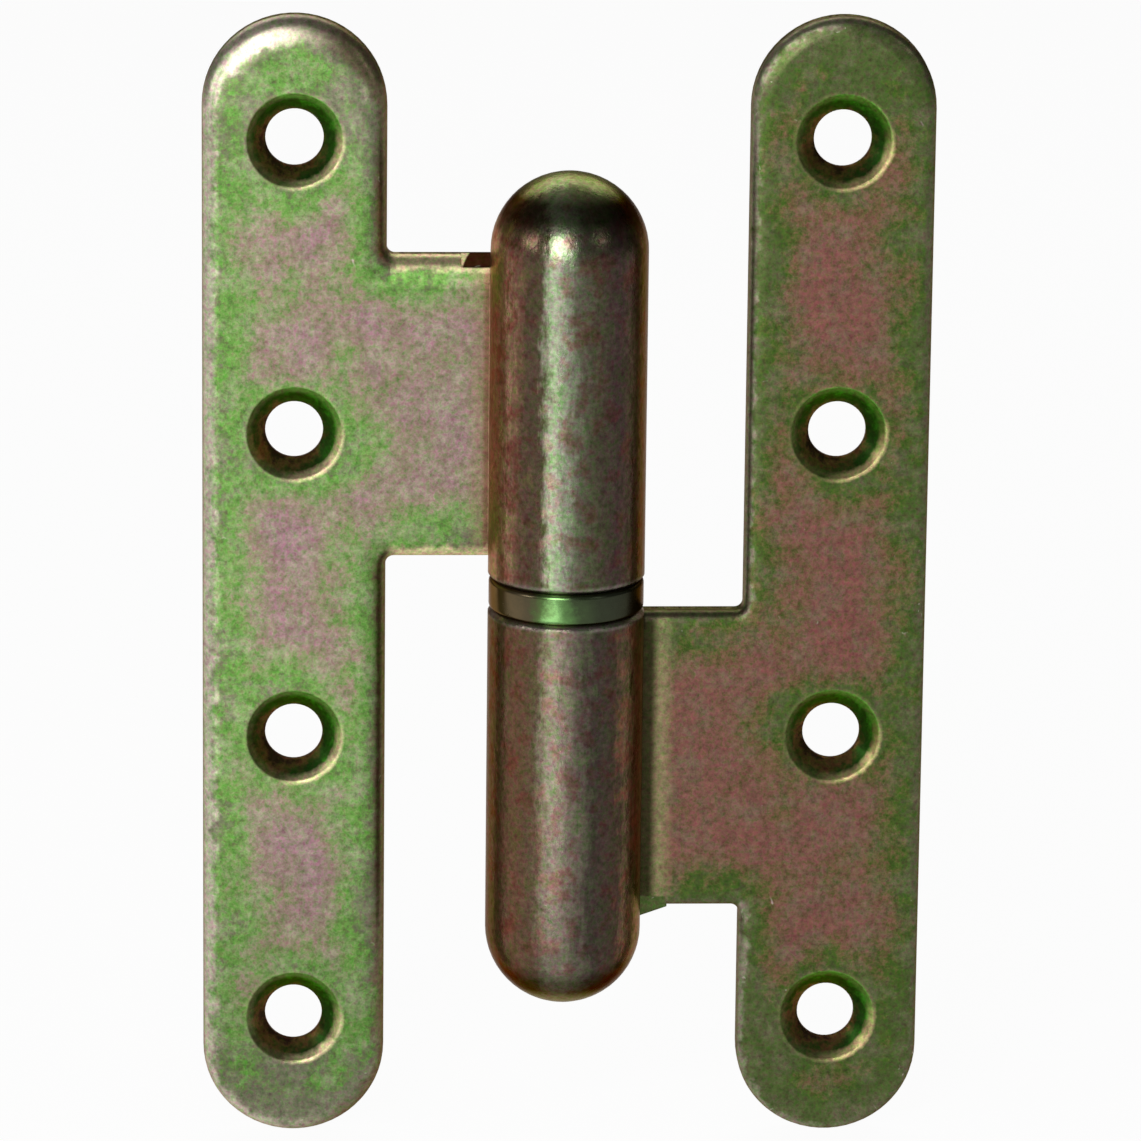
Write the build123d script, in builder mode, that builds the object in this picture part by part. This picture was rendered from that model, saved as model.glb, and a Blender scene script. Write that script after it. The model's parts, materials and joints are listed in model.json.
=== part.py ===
"""Lift-off hinge of plated steel: two round-ended leaves with domed knuckles, a fixed pin and a bearing ring.

Millimetres. +Z runs up the pin, +X to the right, and the countersunk faces look along -Y.
The origin is on the pin's axis, half way up the bearing ring.
"""
import os
from math import radians, sqrt, tan

from build123d import *

# Leaf blank
leaf_height = 140.0
leaf_reach = 44.0  # pin axis to the leaf's outer edge
strip_width = 22.2
leaf_thickness = 3.0
leaf_set_back = 2.5  # pin axis to the leaf's front face, half the gap between closed leaves
notch_radius = 1.0  # inside corners where the tab leaves the strip
upper_edge_roll = 2.0  # rounding that the blanking die draws on the front edges
lower_edge_roll = 1.2

# Knuckles
knuckle_diameter = 19.0
knuckle_length = 40.4  # straight part, from the bearing face to the start of the dome
knuckle_edge_chamfer = 0.55  # at the bearing face
tab_inset = 1.5  # the tab stops short of both ends of the straight part
neck_reach = 12.9  # pin axis to where the tab's far rolled edge stops and its plain-cut neck starts
neck_slant = 1.2  # the neck's far end is cut this much lower in front than behind
back_web_radius = 3.0  # hollow between the neck's back face and the knuckle
lower_neck_flare = 1.2  # the lower neck widens by this much where it meets the knuckle's far end

# Screw holes, two pairs on the middle line of each strip
outer_hole_spacing = 110.0
inner_hole_spacing = 38.0
screw_hole_diameter = 7.0
countersink_diameter = 11.6
countersink_angle = 90.0

# Bearing ring
ring_height = 3.8
ring_step = 0.1  # the ring stands inside the knuckles by this much
ring_edge_chamfer = 0.6

# Pin and its bores
pin_diameter = 11.0
pin_seat_depth = 35.0  # pressed into the lower knuckle
pin_free_length = 34.0  # runs in the upper knuckle
pin_lead_length = 4.0  # taper that guides the upper leaf on
pin_lead_step = 1.5
pin_foot_chamfer = 0.8
drill_point_angle = 118.0
bore_mouth_chamfer = 0.5

# Clearances
bore_clearance = 0.06  # pin to upper bore, radial
bore_end_gap = 2.0  # pin tip to the end of the upper bore
ring_clearance = 0.15  # pin to ring, radial

# Sizes that follow
knuckle_radius = knuckle_diameter / 2
pin_radius = pin_diameter / 2
bearing_z = ring_height / 2
dome_z = bearing_z + knuckle_length
tab_low_z = bearing_z + tab_inset
tab_high_z = dome_z - tab_inset
leaf_front_y = leaf_set_back
leaf_back_y = leaf_front_y + leaf_thickness
strip_middle_x = leaf_reach - strip_width / 2
strip_inner_x = leaf_reach - strip_width
web_centre_y = leaf_back_y + back_web_radius
web_centre_x = sqrt((knuckle_radius + back_web_radius) ** 2 - web_centre_y**2)
web_share = knuckle_radius / (knuckle_radius + back_web_radius)
screw_heights = [side * spacing / 2 for spacing in (outer_hole_spacing, inner_hole_spacing) for side in (-1, 1)]


def leaf_blank(edge_roll):
    """The left leaf with its knuckle above the ring, before the bore is drilled."""
    with BuildPart() as blank:
        # Round-ended strip with the tab that reaches the knuckle
        with BuildSketch(Plane.XZ.offset(-leaf_back_y)):
            with Locations((-strip_middle_x, 0)):
                SlotOverall(leaf_height, strip_width, rotation=90)
            with Locations((-strip_middle_x, (tab_low_z + tab_high_z) / 2)):
                Rectangle(strip_middle_x, tab_high_z - tab_low_z, align=(Align.MIN, Align.CENTER))
            inside_corners = vertices().filter_by(lambda v: abs(v.X + strip_inner_x) < 1e-3 and tab_low_z - 1 < v.Y)
            fillet(inside_corners.filter_by(lambda v: v.Y < tab_high_z + 1), notch_radius)
        extrude(amount=leaf_thickness)
        outline = edges().filter_by(lambda e: e.center().X < -1e-3)
        fillet(outline.filter_by_position(Axis.Y, leaf_front_y, leaf_front_y), edge_roll)

        # Neck that runs the leaf into the knuckle, with a hollow web behind and a plain-cut far end
        neck_low_z = tab_low_z + edge_roll
        with BuildSketch(Plane.XY.offset(neck_low_z)):
            with BuildLine():
                web_on_leaf = (-web_centre_x, leaf_back_y)
                web_on_knuckle = (-web_centre_x * web_share, web_centre_y * web_share)
                neck_back, neck_front = (-neck_reach, leaf_back_y), (-neck_reach, leaf_front_y)
                Polyline(web_on_leaf, neck_back, neck_front, (0, leaf_front_y), web_on_knuckle)
                RadiusArc(web_on_knuckle, web_on_leaf, back_web_radius)
            make_face()
        extrude(amount=tab_high_z - neck_low_z)
        with BuildSketch(Plane.YZ.offset(-neck_reach)):
            with BuildLine():
                slant_low = (leaf_front_y, tab_high_z - neck_slant)
                Polyline((leaf_back_y, tab_high_z), slant_low, (leaf_front_y, tab_high_z), close=True)
            make_face()
        extrude(amount=neck_reach, mode=Mode.SUBTRACT)

        # Knuckle with a broken bearing edge and a domed end
        with BuildSketch(Plane.XZ):
            with BuildLine():
                Line((0, bearing_z), (knuckle_radius, bearing_z))
                Line((knuckle_radius, bearing_z), (knuckle_radius, dome_z))
                CenterArc((0, dome_z), knuckle_radius, 0, 90)
                Line((0, dome_z + knuckle_radius), (0, bearing_z))
            make_face()
            bearing_corner = vertices().group_by(Axis.Y)[0].sort_by(Axis.X)[-1]
            chamfer(bearing_corner, knuckle_edge_chamfer)
        revolve(axis=Axis.Z)

        # Countersunk screw holes
        front_face = Plane(origin=(-strip_middle_x, leaf_front_y, 0), x_dir=(1, 0, 0), z_dir=(0, -1, 0))
        with Locations(front_face):
            with Locations([(0, height) for height in screw_heights]):
                CounterSinkHole(
                    screw_hole_diameter / 2,
                    countersink_diameter / 2,
                    counter_sink_angle=countersink_angle,
                )
    return blank.part


def bore_profile(radius, depth):
    """Half section of a blind bore with its drill point, from the bearing face upwards."""
    point_z = bearing_z + depth + radius / tan(radians(drill_point_angle / 2))
    mouth_radius = radius + bore_mouth_chamfer
    return [
        (0, bearing_z),
        (mouth_radius, bearing_z),
        (radius, bearing_z + bore_mouth_chamfer),
        (radius, bearing_z + depth),
        (0, point_z),
    ]


# Upper leaf: the blank with its running bore
upper_blank = leaf_blank(upper_edge_roll)
with BuildPart() as upper_leaf:
    add(upper_blank)
    with BuildSketch(Plane.XZ):
        with BuildLine():
            Polyline(bore_profile(pin_radius + bore_clearance, pin_free_length + bore_end_gap), close=True)
        make_face()
    revolve(axis=Axis.Z, mode=Mode.SUBTRACT)

# Lower leaf: the same blank turned end for end, its neck filled out to a flare, bored to the pin's own size
lower_blank = leaf_blank(lower_edge_roll)
with BuildPart() as lower_leaf:
    add(lower_blank, rotation=(0, 180, 0))
    with BuildSketch(Plane.XZ.offset(-leaf_back_y)):
        with BuildLine():
            flare_low_z = -tab_high_z - lower_neck_flare
            flare_high_z = -tab_high_z + neck_slant
            flare_inner_x = knuckle_radius - 2 * lower_neck_flare
            Polyline(
                (neck_reach, flare_high_z),
                (neck_reach, -tab_high_z),
                (knuckle_radius, flare_low_z),
                (flare_inner_x, flare_low_z),
                (flare_inner_x, flare_high_z),
                close=True,
            )
        make_face()
    extrude(amount=leaf_thickness)
    with BuildSketch(Plane.XZ):
        with BuildLine():
            Polyline([(x, -z) for x, z in bore_profile(pin_radius, pin_seat_depth)], close=True)
        make_face()
    revolve(axis=Axis.Z, mode=Mode.SUBTRACT)

# Hinge pin, from the bottom of its seat to its tapered tip
pin_foot_z = -bearing_z - pin_seat_depth
with BuildPart() as hinge_pin:
    with BuildSketch(Plane.XY.offset(pin_foot_z)):
        Circle(pin_radius)
    extrude(amount=pin_seat_depth + ring_height + pin_free_length)
    chamfer(edges().group_by(Axis.Z)[0], pin_foot_chamfer)
    tip = faces().sort_by(Axis.Z)[-1]
    chamfer(tip.edges(), length=pin_lead_step, length2=pin_lead_length, reference=tip)

# Bearing ring between the knuckles
with BuildPart() as bearing_ring:
    with BuildSketch(Plane.XY.offset(-bearing_z)):
        Circle(knuckle_radius - ring_step)
        Circle(pin_radius + ring_clearance, mode=Mode.SUBTRACT)
    extrude(amount=ring_height)
    chamfer(edges().filter_by(GeomType.CIRCLE).group_by(SortBy.RADIUS)[-1], ring_edge_chamfer)

os.makedirs("parts", exist_ok=True)
upper_leaf.part.label = "upper_leaf"
lower_leaf.part.label = "lower_leaf"
hinge_pin.part.label = "hinge_pin"
bearing_ring.part.label = "bearing_ring"
export_step(upper_leaf.part, "parts/upper_leaf.step")
export_step(lower_leaf.part, "parts/lower_leaf.step")
export_step(hinge_pin.part, "parts/hinge_pin.step")
export_step(bearing_ring.part, "parts/bearing_ring.step")
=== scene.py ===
"""Looks of the lift-off hinge: chromated zinc plate on its leaves and ring, ground steel on its pin."""
import json
from math import cos, pi, radians, sin

import bmesh
import bpy
from mathutils import Matrix, Vector


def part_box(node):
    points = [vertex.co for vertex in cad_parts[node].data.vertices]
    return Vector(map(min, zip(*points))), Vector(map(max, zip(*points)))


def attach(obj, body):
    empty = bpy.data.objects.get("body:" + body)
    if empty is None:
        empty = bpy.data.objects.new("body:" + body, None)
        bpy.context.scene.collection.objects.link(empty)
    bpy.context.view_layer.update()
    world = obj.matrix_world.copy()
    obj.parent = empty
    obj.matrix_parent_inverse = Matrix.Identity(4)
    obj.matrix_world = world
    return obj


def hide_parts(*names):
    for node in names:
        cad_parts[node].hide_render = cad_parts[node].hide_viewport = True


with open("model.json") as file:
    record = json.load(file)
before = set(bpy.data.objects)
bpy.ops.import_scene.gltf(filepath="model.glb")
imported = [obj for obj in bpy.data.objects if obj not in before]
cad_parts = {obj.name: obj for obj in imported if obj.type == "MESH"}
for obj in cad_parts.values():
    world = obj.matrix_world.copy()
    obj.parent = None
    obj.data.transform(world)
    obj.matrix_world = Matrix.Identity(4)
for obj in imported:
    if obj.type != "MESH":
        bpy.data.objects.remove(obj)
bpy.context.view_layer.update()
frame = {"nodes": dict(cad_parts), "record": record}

MM = 0.001
scene = bpy.context.scene
scene.view_settings.view_transform = "Standard"

# Sizes read from the frame, in millimetres
mounts = {mount["name"]: mount for mount in frame["record"]["mounts"]}
outer_screws = mounts["upper_leaf_outer_screws"]
inner_screws = mounts["upper_leaf_inner_screws"]
upper_low, upper_high = [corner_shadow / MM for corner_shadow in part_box("upper_leaf")]
ring_low, ring_high = [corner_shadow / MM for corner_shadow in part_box("bearing_ring")]
leaf_reach = -upper_low.x
half_height = upper_high.z
knuckle_radius = upper_high.x
strip_middle = -outer_screws["pos_m"][0] / MM
leaf_back = mounts["upper_leaf_back"]["pos_m"][1] / MM
strip_half_width = leaf_reach - strip_middle
outer_hole_height = outer_screws["dims"]["spacing_y_mm"] / 2
inner_hole_height = inner_screws["dims"]["spacing_y_mm"] / 2
hole_radius = outer_screws["dims"]["hole_r_mm"]
bearing_height = ring_high.z

# Sizes of the blank that the frame doesn't name, in millimetres
leaf_thickness = 3.0
leaf_front = leaf_back - leaf_thickness
countersink_radius = 5.8
tab_low = 3.4
tab_high = 40.8
dome_start = 42.3
ring_bore_radius = 5.65
ring_edge_radius = 0.6

# Sizes of the patterns in the finish, in millimetres
CLOUD, MOTTLE, GRAIN, THIN_PATCH, SPANGLE = 9.0, 2.5, 0.7, 3.0, 0.5
STREAK, DENT, SINK_PATCH, TEAR, NICK = 2.2, 1.2, 1.5, 0.5, 1.3
OIL_PATCH, RING_BLOTCH = 7.0, 3.0
# Wheel lines are about 0.02 mm apart on the real pin, drawn coarser so that they show
WHEEL_LINE = 0.15

# Tint of plated metal seen edge-on
EDGE_ON_TINT = "#c4b0a4"


def linear(hex_colour):
    """An sRGB hex colour as the linear RGBA that shader sockets take."""
    channels = [int(hex_colour[i : i + 2], 16) / 255 for i in (1, 3, 5)]
    return [c / 12.92 if c <= 0.04045 else ((c + 0.055) / 1.055) ** 2.4 for c in channels] + [1.0]


def add(tree, kind, links=None, **settings):
    """Adds a shader node with its settings; links gives an input, by name or place, its value or source."""
    made = tree.nodes.new("ShaderNode" + kind)
    for name, value in settings.items():
        setattr(made, name, value)
    shown = [socket for socket in made.inputs if socket.enabled]
    for key, source in (links or {}).items():
        socket = shown[key] if isinstance(key, int) else next(s for s in shown if s.name == key)
        if isinstance(source, bpy.types.Node):
            source = next(output for output in source.outputs if output.enabled)
        if isinstance(source, bpy.types.NodeSocket):
            tree.links.new(source, socket)
        else:
            socket.default_value = source
    return made


def new_material(name):
    """An empty node material and its tree."""
    material = bpy.data.materials.new(name)
    material.use_nodes = True
    material.node_tree.nodes.clear()
    return material, material.node_tree


def set_stops(ramp, stops):
    """Sets a Color Ramp's stops from pairs of position and hex colour."""
    elements = ramp.color_ramp.elements
    while len(elements) < len(stops):
        elements.new(1.0)
    for element, (position, hex_colour) in zip(elements, stops):
        element.position = position
        element.color = linear(hex_colour)


def dress(node_name, material):
    """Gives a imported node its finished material."""
    node = frame["nodes"][node_name]
    node.data.materials.clear()
    node.data.materials.append(material)


# Yellow-chromated zinc plate on a blanked leaf with a turned knuckle: satin metal under a thin film, whose
# thickness tints it green along edges and round holes and pink in the middle of each open face
def chromated_leaf(
    name,
    turn,
    film_stops,
    thin_colour,
    edge_colours,
    knuckle_light_stops,
    roll_width,
    corner_width,
):
    pale_lit_edge, brown_shaded_edge, shaded_neck_end, painted_glint, corner_shadow, pale_corner = edge_colours
    material, tree = new_material(name)
    coords = add(tree, "TexCoord")
    # Millimetres, turned end for end on the lower leaf so that both read as the upper one
    to_leaf = (turn / MM, 1 / MM, turn / MM)
    place = add(tree, "VectorMath", {0: coords.outputs["Object"], 1: to_leaf}, operation="MULTIPLY")
    axes = add(tree, "SeparateXYZ", {0: place})

    # Depth inside the strip's outline, the tab's outline and the countersinks' rims
    on_strip = add(tree, "VectorMath", {0: place, 1: (strip_middle, 0, 0)}, operation="ADD")
    strip_axes = add(tree, "SeparateXYZ", {0: on_strip})
    strip_side = add(tree, "Math", {0: strip_axes.outputs["X"], 1: turn}, operation="MULTIPLY")
    folded = add(tree, "VectorMath", {0: on_strip}, operation="ABSOLUTE")
    flat = add(tree, "VectorMath", {0: folded, 1: (1, 0, 1)}, operation="MULTIPLY")
    end_centre = (0, 0, half_height - strip_half_width)
    past_end = add(tree, "VectorMath", {0: flat, 1: end_centre}, operation="SUBTRACT")
    past = add(tree, "VectorMath", {0: past_end, 1: (0, 0, 0)}, operation="MAXIMUM")
    from_middle = add(tree, "VectorMath", {0: past}, operation="LENGTH")
    strip_depth = add(tree, "Math", {0: strip_half_width, 1: from_middle}, operation="SUBTRACT")
    tab_middle = (tab_low + tab_high) / 2
    tab_offset = add(tree, "Math", {0: axes.outputs["Z"], 1: tab_middle}, operation="SUBTRACT")
    tab_height = add(tree, "Math", {0: tab_offset}, operation="ABSOLUTE")
    tab_end_depth = add(tree, "Math", {0: tab_high - tab_middle, 1: tab_height}, operation="SUBTRACT")
    tab_side_depth = add(tree, "Math", {0: axes.outputs["X"], 1: strip_middle}, operation="ADD")
    tab_depth = add(tree, "Math", {0: tab_end_depth, 1: tab_side_depth}, operation="MINIMUM")
    outline_depth = add(tree, "Math", {0: strip_depth, 1: tab_depth, 2: 3.0}, operation="SMOOTH_MAX")
    to_outer = add(tree, "VectorMath", {0: flat, 1: (0, 0, outer_hole_height)}, operation="DISTANCE")
    to_inner = add(tree, "VectorMath", {0: flat, 1: (0, 0, inner_hole_height)}, operation="DISTANCE")
    to_hole = add(tree, "Math", {0: to_outer, 1: to_inner}, operation="MINIMUM")
    rim_depth = add(tree, "Math", {0: to_hole, 1: countersink_radius}, operation="SUBTRACT")
    across = add(tree, "VectorMath", {0: place, 1: (1, 1, 0)}, operation="MULTIPLY")
    from_axis = add(tree, "VectorMath", {0: across}, operation="LENGTH")
    from_rim = add(tree, "Math", {0: rim_depth, 1: 2.5}, operation="ADD")
    open_depth = add(tree, "Math", {0: outline_depth, 1: from_rim}, operation="MINIMUM")
    knuckle_border = {"From Min": knuckle_radius + 0.3, "From Max": knuckle_radius + 0.1}
    on_knuckle = add(tree, "MapRange", {"Value": from_axis, **knuckle_border})
    off_knuckle = add(tree, "Math", {0: 1.0, 1: on_knuckle}, operation="SUBTRACT")
    within_rim = add(tree, "MapRange", {"Value": rim_depth, "From Min": 0.1, "From Max": -0.1})
    front_range = {"From Min": leaf_back - 0.05, "From Max": leaf_back - 0.15}
    off_back = add(tree, "MapRange", {"Value": axes.outputs["Y"], **front_range})
    in_sink = add(tree, "Math", {0: within_rim, 1: off_back}, operation="MULTIPLY")
    height = add(tree, "Math", {0: axes.outputs["Z"]}, operation="ABSOLUTE")

    # Film: its border wanders with clouds, mottle and grain, and it stays thin at both ends of the strip
    film_low, film_high = -3.0, 13.0
    clouds = add(tree, "TexNoise", {"Vector": place, "Scale": 1 / CLOUD, "Detail": 2.0})
    mottle = add(tree, "TexNoise", {"Vector": place, "Scale": 1 / MOTTLE, "Detail": 3.0, "Roughness": 0.65})
    grain = add(tree, "TexNoise", {"Vector": place, "Scale": 1 / GRAIN, "Detail": 3.0, "Roughness": 0.7})
    end_axes = add(tree, "SeparateXYZ", {0: flat})
    end_range = {"From Min": outer_hole_height - 4, "From Max": half_height - 4, "To Max": -4.0}
    end_shift = add(tree, "MapRange", {"Value": end_axes.outputs["Z"], **end_range})
    cloud_shift = add(tree, "Math", {0: clouds, 1: 14.0, 2: -7.0}, operation="MULTIPLY_ADD")
    mottle_shift = add(tree, "Math", {0: mottle, 1: 8.0, 2: -4.0}, operation="MULTIPLY_ADD")
    grain_shift = add(tree, "Math", {0: grain, 1: 8.0, 2: -4.0}, operation="MULTIPLY_ADD")
    even_depth = add(tree, "Math", {0: open_depth, 1: 9.0}, operation="MINIMUM")
    even_film = add(tree, "Math", {0: even_depth, 1: end_shift}, operation="ADD")
    cloudy_film = add(tree, "Math", {0: even_film, 1: cloud_shift}, operation="ADD")
    mottled_film = add(tree, "Math", {0: cloudy_film, 1: mottle_shift}, operation="ADD")
    film = add(tree, "Math", {0: mottled_film, 1: grain_shift}, operation="ADD")
    film_share = add(tree, "MapRange", {"Value": film, "From Min": film_low, "From Max": film_high})
    film_tint = add(tree, "ValToRGB", {0: film_share})
    set_stops(film_tint, [((mm - film_low) / (film_high - film_low), colour) for mm, colour in film_stops])
    # Where the zinc shows through in patches, the film is grey and paler
    thin_noise = {"Scale": 1 / THIN_PATCH, "Detail": 5.0, "Roughness": 0.7}
    thin = add(tree, "TexNoise", {"Vector": place, **thin_noise})
    thin_share = add(tree, "MapRange", {"Value": thin, "From Min": 0.45, "From Max": 0.68, "To Max": 0.6})
    thin_tint = add(tree, "Mix", {0: thin_share, 1: film_tint, 2: linear(thin_colour)}, data_type="RGBA")
    # Beside the knuckle: a painted shadow of the knuckle in the corner, and a paler tint for the next 2 mm
    pale_start = knuckle_radius + corner_width
    beside_knuckle_range = {"From Min": pale_start + 2.0, "From Max": pale_start, "To Max": 0.6}
    beside_knuckle_pale = add(tree, "MapRange", {"Value": from_axis, **beside_knuckle_range}, interpolation_type="SMOOTHSTEP")
    beside_knuckle_tint = add(tree, "Mix", {0: beside_knuckle_pale, 1: thin_tint, 2: linear(pale_corner)}, data_type="RGBA")
    corner_shadow_range = {"From Min": pale_start, "From Max": pale_start - 0.5 * corner_width, "To Max": 0.9}
    in_corner_shadow = add(tree, "MapRange", {"Value": from_axis, **corner_shadow_range}, interpolation_type="SMOOTHSTEP")
    corner_shadow_tint = add(tree, "Mix", {0: in_corner_shadow, 1: beside_knuckle_tint, 2: linear(corner_shadow)}, data_type="RGBA")

    # Knuckle: film tint with painted light across it: a painted highlight in the pale grey-green band in
    # front, painted shade to the right, and red-brown to the left, partly film and partly painted light;
    # borders broken by streaks along the pin, green and red mottle over all
    stretched = add(tree, "VectorMath", {0: place, 1: (1, 1, 0.2)}, operation="MULTIPLY")
    streak_noise = {"Scale": 1 / STREAK, "Detail": 5.0, "Roughness": 0.75}
    streaks = add(tree, "TexNoise", {"Vector": stretched, **streak_noise})
    round_share = turn / (2 * knuckle_radius)
    painted_light_across = add(tree, "Math", {0: axes.outputs["X"], 1: round_share, 2: 0.3}, operation="MULTIPLY_ADD")
    streaked_painted_light = add(tree, "Math", {0: streaks, 1: 0.24, 2: painted_light_across}, operation="MULTIPLY_ADD")
    knuckle_light_share = add(tree, "Math", {0: mottle, 1: 0.16, 2: streaked_painted_light}, operation="MULTIPLY_ADD")
    knuckle_film_and_painted_light = add(tree, "ValToRGB", {0: knuckle_light_share})
    set_stops(knuckle_film_and_painted_light, knuckle_light_stops)
    # Bearing edge of the knuckle, rubbed pale where the leaf is lifted on and off
    rubbed_range = {"From Min": bearing_height + 1.1, "From Max": bearing_height + 0.5, "To Max": 0.6}
    rubbed = add(tree, "MapRange", {"Value": height, **rubbed_range}, interpolation_type="SMOOTHSTEP")
    mottle_tint = add(tree, "ValToRGB", {0: mottle})
    set_stops(mottle_tint, [(0.36, "#e0ffd0"), (0.5, "#ffffff"), (0.64, "#ffc8c0")])
    mottled = {0: 0.7, 1: knuckle_film_and_painted_light, 2: mottle_tint}
    mottled_tint = add(tree, "Mix", mottled, data_type="RGBA", blend_type="MULTIPLY")
    rubbed_tint = add(tree, "Mix", {0: rubbed, 1: mottled_tint, 2: linear("#868278")}, data_type="RGBA")
    # Domed end: a painted dark band of shade below a greener top
    dome_range = {"From Min": dome_start, "From Max": dome_start + knuckle_radius}
    up_dome = add(tree, "MapRange", {"Value": height, **dome_range})
    dome_painted_shade_band = add(tree, "ValToRGB", {0: up_dome})
    set_stops(dome_painted_shade_band, [(0.3, "#ffffff"), (0.52, "#a6a89e"), (0.72, "#a6a89e"), (0.86, "#ffffff")])
    banded = {0: 1.0, 1: rubbed_tint, 2: dome_painted_shade_band}
    banded_tint = add(tree, "Mix", banded, data_type="RGBA", blend_type="MULTIPLY")
    top_range = {"From Min": 0.66, "From Max": 0.94, "To Max": 0.7}
    on_top = add(tree, "MapRange", {"Value": up_dome, **top_range}, interpolation_type="SMOOTHSTEP")
    turned_tint = add(tree, "Mix", {0: on_top, 1: banded_tint, 2: linear("#959f68")}, data_type="RGBA")
    plate_tint = add(tree, "Mix", {0: on_knuckle, 1: corner_shadow_tint, 2: turned_tint}, data_type="RGBA")

    # Countersinks: drilled cones in patches, brown inside and dark green outside, greener to the upper
    # right as painted light, with a painted gold glint on the rim to the lower right
    between_holes = (outer_hole_height + inner_hole_height) / 2
    by_outer = add(tree, "Math", {0: height, 1: between_holes}, operation="GREATER_THAN")
    hole_apart = outer_hole_height - inner_hole_height
    from_inner = {0: by_outer, 1: hole_apart, 2: inner_hole_height}
    hole_height = add(tree, "Math", from_inner, operation="MULTIPLY_ADD")
    hole_offset = add(tree, "Math", {0: height, 1: hole_height}, operation="SUBTRACT")
    leaf_half = add(tree, "Math", {0: axes.outputs["Z"]}, operation="SIGN")
    upright = add(tree, "Math", {0: leaf_half, 1: turn}, operation="MULTIPLY")
    above_hole = add(tree, "Math", {0: hole_offset, 1: upright}, operation="MULTIPLY")
    painted_light_upper_right = add(tree, "Math", {0: strip_side, 1: above_hole}, operation="ADD")
    painted_glint_lower_right = add(tree, "Math", {0: strip_side, 1: above_hole}, operation="SUBTRACT")
    patch_noise = {"Scale": 1 / SINK_PATCH, "Detail": 4.0, "Roughness": 0.7}
    patches = add(tree, "TexNoise", {"Vector": place, **patch_noise})
    cone_range = {"From Min": hole_radius, "From Max": countersink_radius, "To Min": -0.28, "To Max": 0.28}
    up_cone = add(tree, "MapRange", {"Value": to_hole, **cone_range})
    round_cone = add(tree, "Math", {0: painted_light_upper_right, 1: 0.04, 2: up_cone}, operation="MULTIPLY_ADD")
    sink_share = add(tree, "Math", {0: round_cone, 1: patches}, operation="ADD")
    sink_tint = add(tree, "ValToRGB", {0: sink_share})
    set_stops(sink_tint, sink_film_and_painted_light)
    sunk_tint = add(tree, "Mix", {0: in_sink, 1: plate_tint, 2: sink_tint}, data_type="RGBA")
    rim_distance = add(tree, "Math", {0: rim_depth, 1: 0.25}, operation="ADD")
    rim_offset = add(tree, "Math", {0: rim_distance}, operation="ABSOLUTE")
    rim_break = add(tree, "Math", {0: patches, 1: 0.8, 2: -0.4}, operation="MULTIPLY_ADD")
    rim_width = add(tree, "Math", {0: rim_offset, 1: rim_break}, operation="ADD")
    on_rim = add(tree, "MapRange", {"Value": rim_width, "From Min": 0.7, "From Max": 0.2})
    painted_glint_range = {"From Min": 3.0, "From Max": 7.5, "To Min": 0.12, "To Max": 0.85}
    painted_glint_side = add(
        tree,
        "MapRange",
        {"Value": painted_glint_lower_right, **painted_glint_range},
        interpolation_type="SMOOTHSTEP",
    )
    painted_glint_front = add(tree, "Math", {0: painted_glint_side, 1: off_back}, operation="MULTIPLY")
    painted_rim_glint = add(tree, "Math", {0: on_rim, 1: painted_glint_front}, operation="MULTIPLY")
    glint_rimmed_tint = add(tree, "Mix", {0: painted_rim_glint, 1: sunk_tint, 2: linear(painted_glint)}, data_type="RGBA")

    # Rolled edges that the die burnished: thin film, pale to the left as painted light and brown to the
    # right as painted shade, with a painted glint along the tab's top edge
    edge_light_side = add(tree, "MapRange", {"Value": strip_side, "From Min": -12.0, "From Max": 24.0})
    edge_film_and_painted_light = add(tree, "ValToRGB", {0: edge_light_side})
    edge_stops = [(0.0, brown_shaded_edge), (0.02, brown_shaded_edge), (0.03, pale_lit_edge), (0.22, pale_lit_edge)]
    set_stops(edge_film_and_painted_light, edge_stops + [(0.5, brown_shaded_edge), (0.64, brown_shaded_edge), (0.68, painted_glint)])
    end_rise = {"From Min": end_centre[2], "From Max": half_height - 5}
    above_middle = add(tree, "Math", {0: axes.outputs["Z"], 1: turn}, operation="MULTIPLY")
    on_end = add(tree, "MapRange", {"Value": above_middle, **end_rise})
    edge_break = add(tree, "Math", {0: mottle, 1: 3.6, 2: -1.8}, operation="MULTIPLY_ADD")
    # At the top end the pale band is widened into a painted highlight
    top_end_highlight_width = 2.4 - 2 * roll_width
    edge_spread_and_top_highlight = add(tree, "Math", {0: on_end, 1: top_end_highlight_width, 2: edge_break}, operation="MULTIPLY_ADD")
    edge_depth = add(tree, "Math", {0: outline_depth, 1: edge_spread_and_top_highlight}, operation="ADD")
    edge_range = {"From Min": roll_width, "From Max": 0.3 * roll_width, "To Max": 0.75}
    on_edge = add(tree, "MapRange", {"Value": edge_depth, **edge_range}, interpolation_type="SMOOTHSTEP")
    bright_edge = add(tree, "Math", {0: on_edge, 1: off_knuckle}, operation="MULTIPLY")
    edged_tint = add(tree, "Mix", {0: bright_edge, 1: glint_rimmed_tint, 2: edge_film_and_painted_light}, data_type="RGBA")

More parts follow.
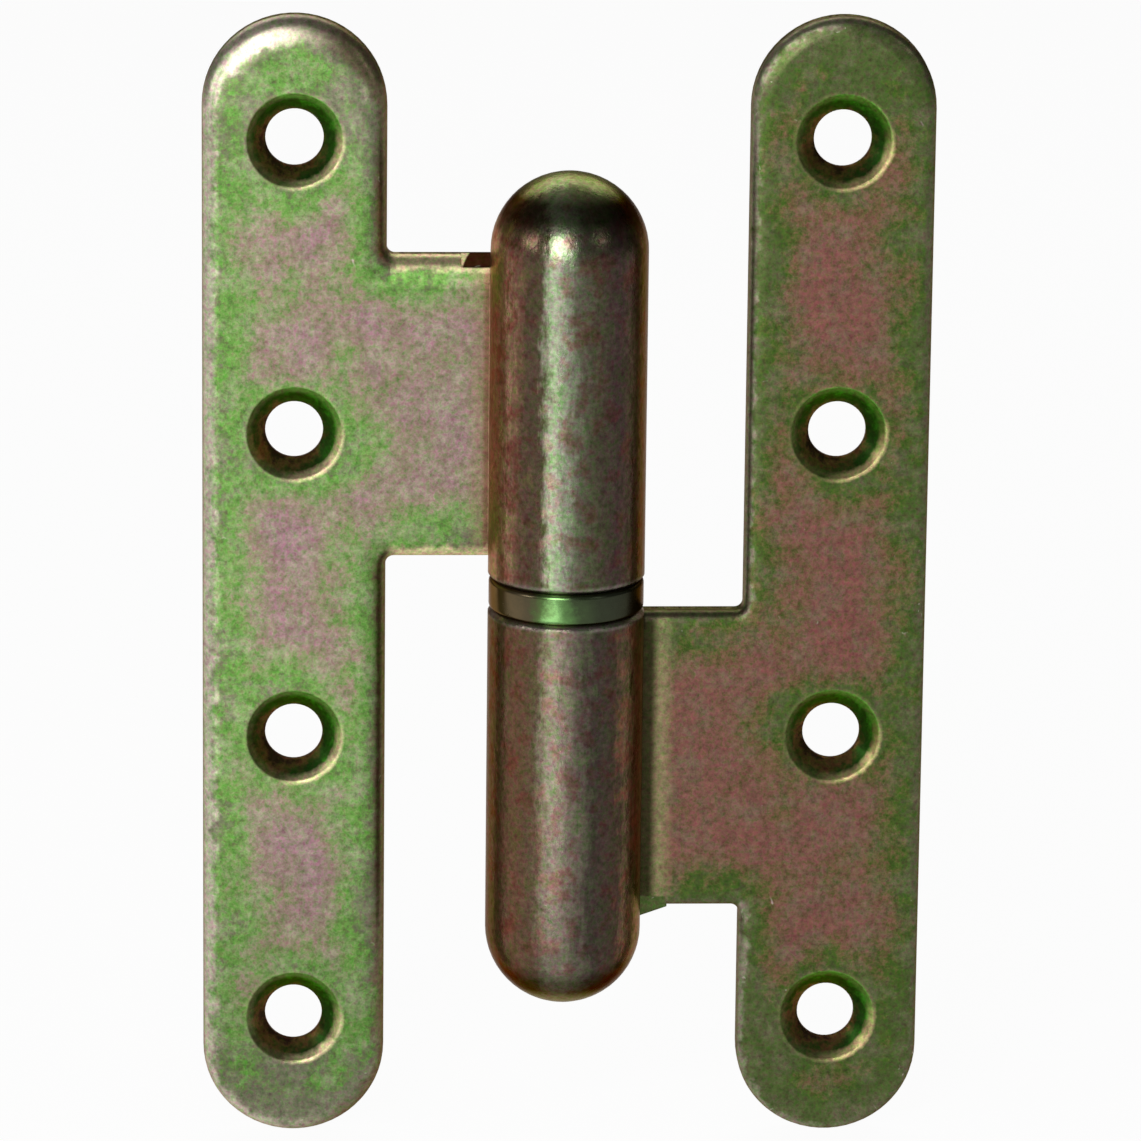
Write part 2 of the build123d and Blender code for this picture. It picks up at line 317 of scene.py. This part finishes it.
    # Blanked walls: the back third of the thickness tore away, dull brown with streaks through the sheet
    torn_range = {"From Min": leaf_front + 1.6, "From Max": leaf_front + 2.2}
    torn_side = add(tree, "MapRange", {"Value": axes.outputs["Y"], **torn_range})
    on_wall = add(tree, "MapRange", {"Value": outline_depth, "From Min": 0.12, "From Max": 0.05})
    torn_wall = add(tree, "Math", {0: torn_side, 1: on_wall}, operation="MULTIPLY")
    torn = add(tree, "Math", {0: torn_wall, 1: off_knuckle}, operation="MULTIPLY")
    through = add(tree, "VectorMath", {0: place, 1: (1, 0.15, 1)}, operation="MULTIPLY")
    tears = add(tree, "TexNoise", {"Vector": through, "Scale": 1 / TEAR, "Detail": 3.0, "Roughness": 0.7})
    tear_tint = add(tree, "ValToRGB", {0: tears})
    set_stops(tear_tint, [(0.35, "#413b2a"), (0.5, "#656242"), (0.65, "#7f7a56")])
    walled_tint = add(tree, "Mix", {0: torn, 1: edged_tint, 2: tear_tint}, data_type="RGBA")

    # Plain-cut end of the neck, painted dark as the shade on its facet
    tab_range = {"From Min": tab_high - 1.4, "From Max": tab_high - 1.2}
    past_tab = add(tree, "MapRange", {"Value": axes.outputs["Z"], **tab_range})
    neck_range = {"From Min": knuckle_radius + 3.6, "From Max": knuckle_radius + 3.4}
    at_neck = add(tree, "MapRange", {"Value": from_axis, **neck_range})
    neck_end = add(tree, "Math", {0: past_tab, 1: at_neck}, operation="MULTIPLY")
    neck_shade = add(tree, "Math", {0: neck_end, 1: off_knuckle}, operation="MULTIPLY")
    neck_shade_tint = add(tree, "Mix", {0: neck_shade, 1: walled_tint, 2: linear(shaded_neck_end)}, data_type="RGBA")

    # Handling marks: pale nicks about 0.5 mm across, most of them near the edges
    nicks = add(tree, "TexNoise", {"Vector": place, "Scale": 1 / NICK, "Detail": 2.0, "Distortion": 1.0})
    nick_range = {"From Min": 3.0, "From Max": 0.5, "To Min": 0.0, "To Max": 0.06}
    nick_shift = add(tree, "MapRange", {"Value": outline_depth, **nick_range})
    nicked = add(tree, "Math", {0: nicks, 1: nick_shift}, operation="ADD")
    nick = add(tree, "MapRange", {"Value": nicked, "From Min": 0.76, "From Max": 0.84, "To Max": 0.6})
    marks = add(tree, "Math", {0: nick, 1: off_knuckle}, operation="MULTIPLY")
    marked_tint = add(tree, "Mix", {0: marks, 1: neck_shade_tint, 2: linear("#cac6b6")}, data_type="RGBA")

    # Spangle of the zinc, which takes the film greener or pinker
    spangle_noise = {"Scale": 1 / SPANGLE, "Detail": 2.0, "Roughness": 0.6}
    spangle = add(tree, "TexNoise", {"Vector": place, **spangle_noise})
    spangle_tint = add(tree, "ValToRGB", {0: spangle})
    set_stops(spangle_tint, [(0.34, "#c8ffb8"), (0.5, "#ffffff"), (0.66, "#ffccf2")])
    spangled = {0: 0.7, 1: marked_tint, 2: spangle_tint}
    tint = add(tree, "Mix", spangled, data_type="RGBA", blend_type="MULTIPLY")
    grain_range = {"From Min": 0.25, "From Max": 0.75, "To Min": 0.6, "To Max": 1.4}
    grain_value = add(tree, "MapRange", {"Value": grain, **grain_range})
    colour = add(tree, "HueSaturation", {"Color": tint, "Value": grain_value})

    # Roughness: satin leaf, smoother turned knuckle and drilled cones, dull torn walls
    leaf_range = {"From Min": 0.3, "From Max": 0.7, "To Min": 0.34, "To Max": 0.46}
    leaf_gloss = add(tree, "MapRange", {"Value": mottle, **leaf_range})
    knuckle_range = {"From Min": 0.3, "From Max": 0.7, "To Min": 0.25, "To Max": 0.33}
    knuckle_gloss = add(tree, "MapRange", {"Value": streaks, **knuckle_range})
    body_gloss = add(tree, "Mix", {0: on_knuckle, 1: leaf_gloss, 2: knuckle_gloss})
    edge_gloss = add(tree, "Mix", {0: bright_edge, 1: body_gloss, 2: 0.36})
    wall_gloss = add(tree, "Mix", {0: torn, 1: edge_gloss, 2: 0.6})
    gloss = add(tree, "Mix", {0: in_sink, 1: wall_gloss, 2: 0.36})

    # Relief in millimetres: grain, tears, dents on the knuckle, and the rolled edges' flatter start
    grain_relief = add(tree, "Math", {0: grain, 1: 0.015}, operation="MULTIPLY")
    tear_depth = add(tree, "Math", {0: torn, 1: 0.08}, operation="MULTIPLY")
    tear_relief = add(tree, "Math", {0: tears, 1: tear_depth}, operation="MULTIPLY")
    dented = add(tree, "VectorMath", {0: place, 1: (1, 1, 0.6)}, operation="MULTIPLY")
    dents = add(tree, "TexNoise", {"Vector": dented, "Scale": 1 / DENT, "Detail": 3.0, "Roughness": 0.6})
    dent_depth = add(tree, "Math", {0: on_knuckle, 1: 0.07}, operation="MULTIPLY")
    dent_relief = add(tree, "Math", {0: dents, 1: dent_depth}, operation="MULTIPLY")
    drawn_range = {
        "From Min": 0.6 * roll_width,
        "From Max": 2 * roll_width,
        "To Min": -0.19 * roll_width,
        "To Max": 0.0,
    }
    drawn = add(tree, "MapRange", {"Value": outline_depth, **drawn_range}, interpolation_type="SMOOTHSTEP")
    on_tab = add(tree, "MapRange", {"Value": strip_axes.outputs["X"], "From Min": 8.0, "From Max": 11.5})
    on_end_or_tab = add(tree, "Math", {0: on_end, 1: on_tab}, operation="MAXIMUM")
    drawn_share = add(tree, "Math", {0: on_end_or_tab, 1: off_knuckle}, operation="MULTIPLY")
    drawn_relief = add(tree, "Math", {0: drawn, 1: drawn_share}, operation="MULTIPLY")
    fine_relief = add(tree, "Math", {0: grain_relief, 1: tear_relief}, operation="ADD")
    dented_relief = add(tree, "Math", {0: fine_relief, 1: dent_relief}, operation="ADD")
    relief = add(tree, "Math", {0: dented_relief, 1: drawn_relief}, operation="ADD")
    soft_edges = add(tree, "Bevel", {"Radius": 0.5 * MM}, samples=4)
    bump = add(tree, "Bump", {"Height": relief, "Strength": 1.0, "Distance": MM, "Normal": soft_edges})
    finish = {"Metallic": 1.0, "Specular Tint": linear(EDGE_ON_TINT)}
    surface = {"Base Color": colour, "Roughness": gloss, "Normal": bump}
    shader = add(tree, "BsdfPrincipled", {**surface, **finish})
    add(tree, "OutputMaterial", {0: shader})
    return material


# Film tints by depth in from the edge, in millimetres; the lower leaf's are darker, browner copies, partly
# its own film and partly painted shade for the leaf turned from the light
upper_film_lit = [
    (-1.0, "#72745c"), (1.0, "#647b48"), (2.5, "#628c43"), (4.5, "#6e8c4e"),
    (7.0, "#867b66"), (11.0, "#8f7276"),
]
lower_film_shaded = [
    (-1.0, "#515e35"), (1.0, "#4a5c2e"), (2.2, "#4a5f29"), (5.5, "#715a42"),
    (8.0, "#7a564b"), (11.0, "#7d5249"),
]
# Film tints from left to right on the knuckle, with a painted highlight in front and painted shade to the
# right
upper_knuckle_painted_light = [
    (0.0, "#c89b80"), (0.07, "#ad866f"), (0.15, "#745848"), (0.24, "#55463a"),
    (0.3, "#53493a"), (0.37, "#8f947f"), (0.45, "#898d7b"), (0.54, "#605f50"),
    (0.65, "#4f4b3c"), (0.8, "#433534"), (1.0, "#665743"),
]
lower_knuckle_painted_light = [
    (0.0, "#6a5a49"), (0.15, "#6c4e3e"), (0.3, "#5c4f3f"), (0.38, "#797264"),
    (0.47, "#7d7267"), (0.56, "#655d53"), (0.66, "#433c36"), (0.82, "#473931"), (1.0, "#998062"),
]
# Film tints from a countersink's brown inside to its green outside; the greenest end is reached to the
# upper right, as painted light
sink_film_and_painted_light = [
    (0.05, "#402e24"), (0.22, "#6f5433"), (0.36, "#474f26"), (0.5, "#2c4c1e"),
    (0.7, "#2d581b"), (0.95, "#45952a"),
]
# Pale lit edge and brown shaded edge, painted shade on the neck's cut end, painted glint on rims and the
# tab's top edge, painted knuckle shadow in the corner and the paler tint beside it
upper_edges = ("#d0c9b3", "#6a5d45", "#35231c", "#ecdcab", "#785d49", "#89785f")
lower_edges = ("#918c78", "#5f5c47", "#515f35", "#d6c38c", "#252411", "#959267")
upper_leaf_finish = chromated_leaf(
    "chromated_zinc_upper_leaf",
    turn=1,
    film_stops=upper_film_lit,
    thin_colour="#9b9981",
    edge_colours=upper_edges,
    knuckle_light_stops=upper_knuckle_painted_light,
    roll_width=2.0,
    corner_width=1.2,
)
lower_leaf_finish = chromated_leaf(
    "chromated_zinc_lower_leaf",
    turn=-1,
    film_stops=lower_film_shaded,
    thin_colour="#746c58",
    edge_colours=lower_edges,
    knuckle_light_stops=lower_knuckle_painted_light,
    roll_width=1.2,
    corner_width=2.6,
)
dress("upper_leaf", upper_leaf_finish)
dress("lower_leaf", lower_leaf_finish)


# Ground steel of the pin: bare, bright and smooth, with fine lines round it from the wheel and a little oil
def ground_steel(name):
    material, tree = new_material(name)
    coords = add(tree, "TexCoord")
    to_mm = (1 / MM, 1 / MM, 1 / MM)
    place = add(tree, "VectorMath", {0: coords.outputs["Object"], 1: to_mm}, operation="MULTIPLY")
    along_lines = (0.15, 0.15, 1 / WHEEL_LINE)
    lines = add(tree, "VectorMath", {0: place, 1: along_lines}, operation="MULTIPLY")
    wheel_lines = add(tree, "TexNoise", {"Vector": lines, "Scale": 1.0, "Detail": 3.0, "Roughness": 0.6})
    oil = add(tree, "TexNoise", {"Vector": place, "Scale": 1 / OIL_PATCH, "Detail": 3.0})
    tint = add(tree, "ValToRGB", {0: oil})
    set_stops(tint, [(0.35, "#b9b6ac"), (0.55, "#c6c5c0"), (0.7, "#a9a390")])
    line_range = {"From Min": 0.3, "From Max": 0.7, "To Min": 0.85, "To Max": 1.1}
    line_value = add(tree, "MapRange", {"Value": wheel_lines, **line_range})
    colour = add(tree, "HueSaturation", {"Color": tint, "Value": line_value})
    oil_range = {"From Min": 0.35, "From Max": 0.65, "To Min": 0.2, "To Max": 0.32}
    gloss = add(tree, "MapRange", {"Value": oil, **oil_range})
    bump = add(tree, "Bump", {"Height": wheel_lines, "Strength": 1.0, "Distance": 0.004 * MM})
    surface = {"Base Color": colour, "Roughness": gloss, "Normal": bump}
    shader = add(tree, "BsdfPrincipled", {**surface, "Metallic": 1.0})
    add(tree, "OutputMaterial", {0: shader})
    return material


dress("hinge_pin", ground_steel("ground_steel_pin"))


# Film tints from left to right round the ring, with a painted highlight in the bright green band in front
# and painted shade to the right
ring_film_and_painted_light = [
    (0.0, "#726045"), (0.24, "#544c3a"), (0.33, "#4c6338"), (0.4, "#739c60"),
    (0.47, "#587a47"), (0.56, "#404c34"), (0.72, "#363b2d"), (1.0, "#2e2e26"),
]


# Yellow-chromated zinc plate on a turned ring: a deeper, glossier film than the leaves', with tool lines
# and painted light across it
def chromated_ring(name):
    material, tree = new_material(name)
    coords = add(tree, "TexCoord")
    to_mm = (1 / MM, 1 / MM, 1 / MM)
    place = add(tree, "VectorMath", {0: coords.outputs["Object"], 1: to_mm}, operation="MULTIPLY")
    axes = add(tree, "SeparateXYZ", {0: place})
    blotch_noise = {"Scale": 1 / RING_BLOTCH, "Detail": 4.0, "Roughness": 0.7}
    blotches = add(tree, "TexNoise", {"Vector": place, **blotch_noise})
    round_share = 1 / (2 * ring_high.x)
    painted_light_across = add(tree, "Math", {0: axes.outputs["X"], 1: round_share, 2: 0.35}, operation="MULTIPLY_ADD")
    ring_light_share = add(tree, "Math", {0: blotches, 1: 0.3, 2: painted_light_across}, operation="MULTIPLY_ADD")
    tint = add(tree, "ValToRGB", {0: ring_light_share})
    set_stops(tint, ring_film_and_painted_light)
    lines = add(tree, "VectorMath", {0: place, 1: (0.2, 0.2, 8.0)}, operation="MULTIPLY")
    tool_lines = add(tree, "TexNoise", {"Vector": lines, "Scale": 1.0, "Detail": 3.0})
    gloss_range = {"From Min": 0.3, "From Max": 0.7, "To Min": 0.2, "To Max": 0.3}
    gloss = add(tree, "MapRange", {"Value": blotches, **gloss_range})
    bump = add(tree, "Bump", {"Height": tool_lines, "Strength": 1.0, "Distance": 0.012 * MM})
    finish = {"Metallic": 1.0, "Specular Tint": linear(EDGE_ON_TINT)}
    surface = {"Base Color": tint, "Roughness": gloss, "Normal": bump}
    shader = add(tree, "BsdfPrincipled", {**surface, **finish})
    add(tree, "OutputMaterial", {0: shader})
    return material


def turned_ring(name, inner_radius, round_radius):
    """The bearing ring with its outer edges rounded as they were turned, in millimetres."""
    form = bmesh.new()
    corners = [
        (inner_radius, ring_low.z),
        (ring_high.x, ring_low.z),
        (ring_high.x, ring_high.z),
        (inner_radius, ring_high.z),
    ]
    points = [form.verts.new((x * MM, 0, z * MM)) for x, z in corners]
    for start, end in zip(points, points[1:] + points[:1]):
        form.edges.new((start, end))
    bmesh.ops.bevel(
        form,
        geom=points[1:3],
        offset=round_radius * MM,
        offset_type="OFFSET",
        segments=6,
        profile=0.5,
        affect="VERTICES",
        material=-1,
    )
    section = form.verts[:] + form.edges[:]
    bmesh.ops.spin(
        form,
        geom=section,
        cent=(0, 0, 0),
        axis=(0, 0, 1),
        angle=2 * pi,
        steps=128,
        use_merge=True,
    )
    bmesh.ops.remove_doubles(form, verts=form.verts, dist=0.001 * MM)
    bmesh.ops.recalc_face_normals(form, faces=form.faces)
    for face in form.faces:
        face.smooth = True
    mesh = bpy.data.meshes.new(name)
    form.to_mesh(mesh)
    form.free()
    mesh.set_sharp_from_angle(angle=radians(40))
    piece = bpy.data.objects.new(name, mesh)
    scene.collection.objects.link(piece)
    return piece


ring = turned_ring("turned_bearing_ring", ring_bore_radius, ring_edge_radius)
ring.data.materials.append(chromated_ring("chromated_zinc_turned_ring"))
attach(ring, "ring")
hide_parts("bearing_ring")

# Floor: plain white card under the upright hinge, white to the eye and in reflections, with a soft shadow
floor_form = bmesh.new()
bmesh.ops.create_grid(floor_form, x_segments=1, y_segments=1, size=4.0)
bmesh.ops.translate(floor_form, verts=floor_form.verts, vec=(0, 0, -half_height * MM))
floor_mesh = bpy.data.meshes.new("floor")
floor_form.to_mesh(floor_mesh)
floor_form.free()
floor = bpy.data.objects.new("floor", floor_mesh)
scene.collection.objects.link(floor)
floor_card, floor_tree = new_material("white_card")
rays = add(floor_tree, "LightPath")
eye_or_mirror = add(
    floor_tree,
    "Math",
    {0: rays.outputs["Is Camera Ray"], 1: rays.outputs["Is Glossy Ray"]},
    operation="MAXIMUM",
)
seen = add(
    floor_tree,
    "Math",
    {0: eye_or_mirror, 1: rays.outputs["Is Transmission Ray"]},
    operation="MAXIMUM",
)
white_share = add(floor_tree, "Math", {0: seen, 1: 0.95}, operation="MULTIPLY")
card = add(floor_tree, "BsdfDiffuse", {"Color": linear("#f4f4f2")})
white = add(floor_tree, "Emission", {"Color": linear("#ffffff"), "Strength": 1.0})
floor_finish = add(floor_tree, "MixShader", {0: white_share, 1: card, 2: white})
add(floor_tree, "OutputMaterial", {0: floor_finish})
floor_mesh.materials.append(floor_card)

# Camera fitted to the photograph, with the picture 1141 pixels wide
PICTURE = 1141
FOCAL_PIXELS = 7438.0
camera_turn = radians(2.67)
camera_rise = radians(14.87)
camera_roll = radians(-0.64)
camera_distance = 900.3 * MM
camera_target = Vector((0.51, 0, 2.58)) * MM
toward_eye = Vector(
    (-sin(camera_turn) * cos(camera_rise), -cos(camera_turn) * cos(camera_rise), sin(camera_rise))
)
level_right = Vector((cos(camera_turn), -sin(camera_turn), 0))
level_up = toward_eye.cross(level_right)
picture_right = level_right * cos(camera_roll) - level_up * sin(camera_roll)
picture_up = level_right * sin(camera_roll) + level_up * cos(camera_roll)
camera = bpy.data.objects.new("camera", bpy.data.cameras.new("camera"))
camera.matrix_world = Matrix.Translation(camera_target + toward_eye * camera_distance) @ Matrix(
    (picture_right, picture_up, toward_eye)
).transposed().to_4x4()
camera.data.lens = camera.data.sensor_width * FOCAL_PIXELS / PICTURE
scene.collection.objects.link(camera)
scene.camera = camera


def softbox(name, turn, distance, height, tilt, size, radiance):
    """A rectangular soft lamp round the pin's axis, in degrees and metres; tilt 90 faces up."""
    lamp = bpy.data.lights.new(name, "AREA")
    lamp.shape = "RECTANGLE"
    lamp.size, lamp.size_y = size
    lamp.energy = radiance * pi * size[0] * size[1]
    made = bpy.data.objects.new(name, lamp)
    made.location = (sin(radians(turn)) * distance, -cos(radians(turn)) * distance, height)
    made.rotation_euler = (radians(90 + tilt), 0, radians(turn))
    made.visible_camera = False
    scene.collection.objects.link(made)


softbox("key_left", turn=-17, distance=0.5, height=0.19, tilt=0, size=(0.25, 0.28), radiance=7.0)
softbox("floor_left", turn=-25, distance=0.32, height=-0.068, tilt=90, size=(0.09, 0.42), radiance=1.7)
softbox("side_left", turn=-62, distance=0.5, height=0.18, tilt=-20, size=(0.1, 0.1), radiance=12.0)
softbox("side_right", turn=47, distance=0.5, height=0.24, tilt=-25, size=(0.07, 0.07), radiance=8.0)
softbox("back", turn=180, distance=0.95, height=1.1, tilt=0, size=(1.9, 1.1), radiance=1.6)

world = bpy.data.worlds.new("studio")
world.use_nodes = True
world.node_tree.nodes["Background"].inputs["Color"].default_value = linear("#7c7c7c")
world.node_tree.nodes["Background"].inputs["Strength"].default_value = 1.0
scene.world = world
